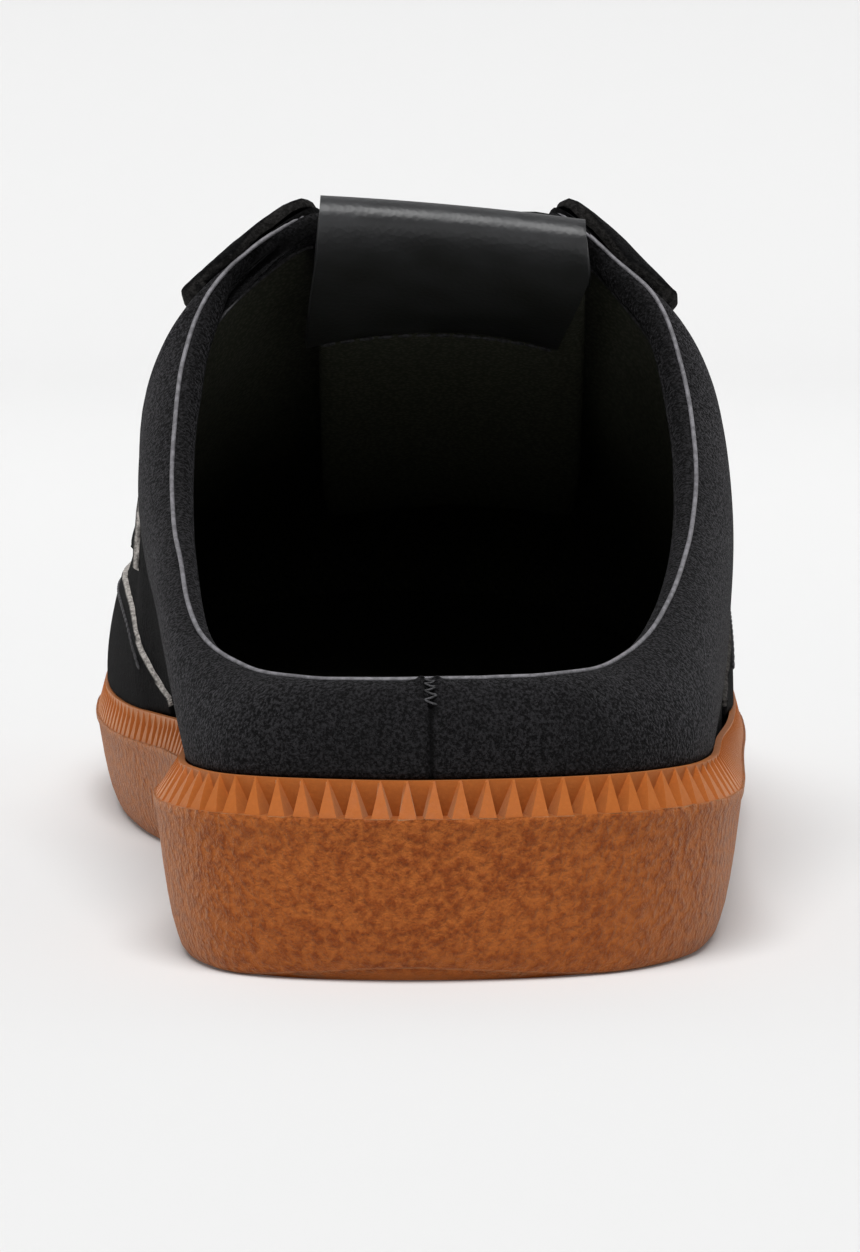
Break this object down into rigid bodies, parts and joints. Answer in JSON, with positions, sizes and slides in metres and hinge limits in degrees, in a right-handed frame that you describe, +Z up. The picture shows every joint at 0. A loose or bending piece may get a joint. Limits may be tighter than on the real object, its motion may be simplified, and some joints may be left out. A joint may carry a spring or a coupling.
{
  "type": "backless sneaker",
  "caption": "Low backless sneaker for the right foot: black suede upper, microsuede heel band, padded tongue, flat lace and serrated gum cup sole.",
  "frame": {"origin": "middle of the shoe's footprint on the ground, halfway along its length and its width", "axes": "+Y to the toe, +X to the outer side of the right foot, +Z up"},
  "size_m": [0.0948, 0.2678, 0.0903],
  "materials": {
    "gum": "mottled gum rubber, satin",
    "suede": "napped black suede with raw edges",
    "microsuede": "fine short nap, charcoal",
    "leather": "smooth, semi-matt",
    "lining": "matt black textile",
    "cord": "flat woven lace"
  },
  "bodies": {
    "root": {"sole": "gum", "upper": "suede", "insole": "lining", "tongue": "suede", "tongue_tab": "leather", "heel_band": "microsuede", "eyestay": "suede", "toe_foxing": "suede", "laces": "cord"}
  },
  "joints": []
}
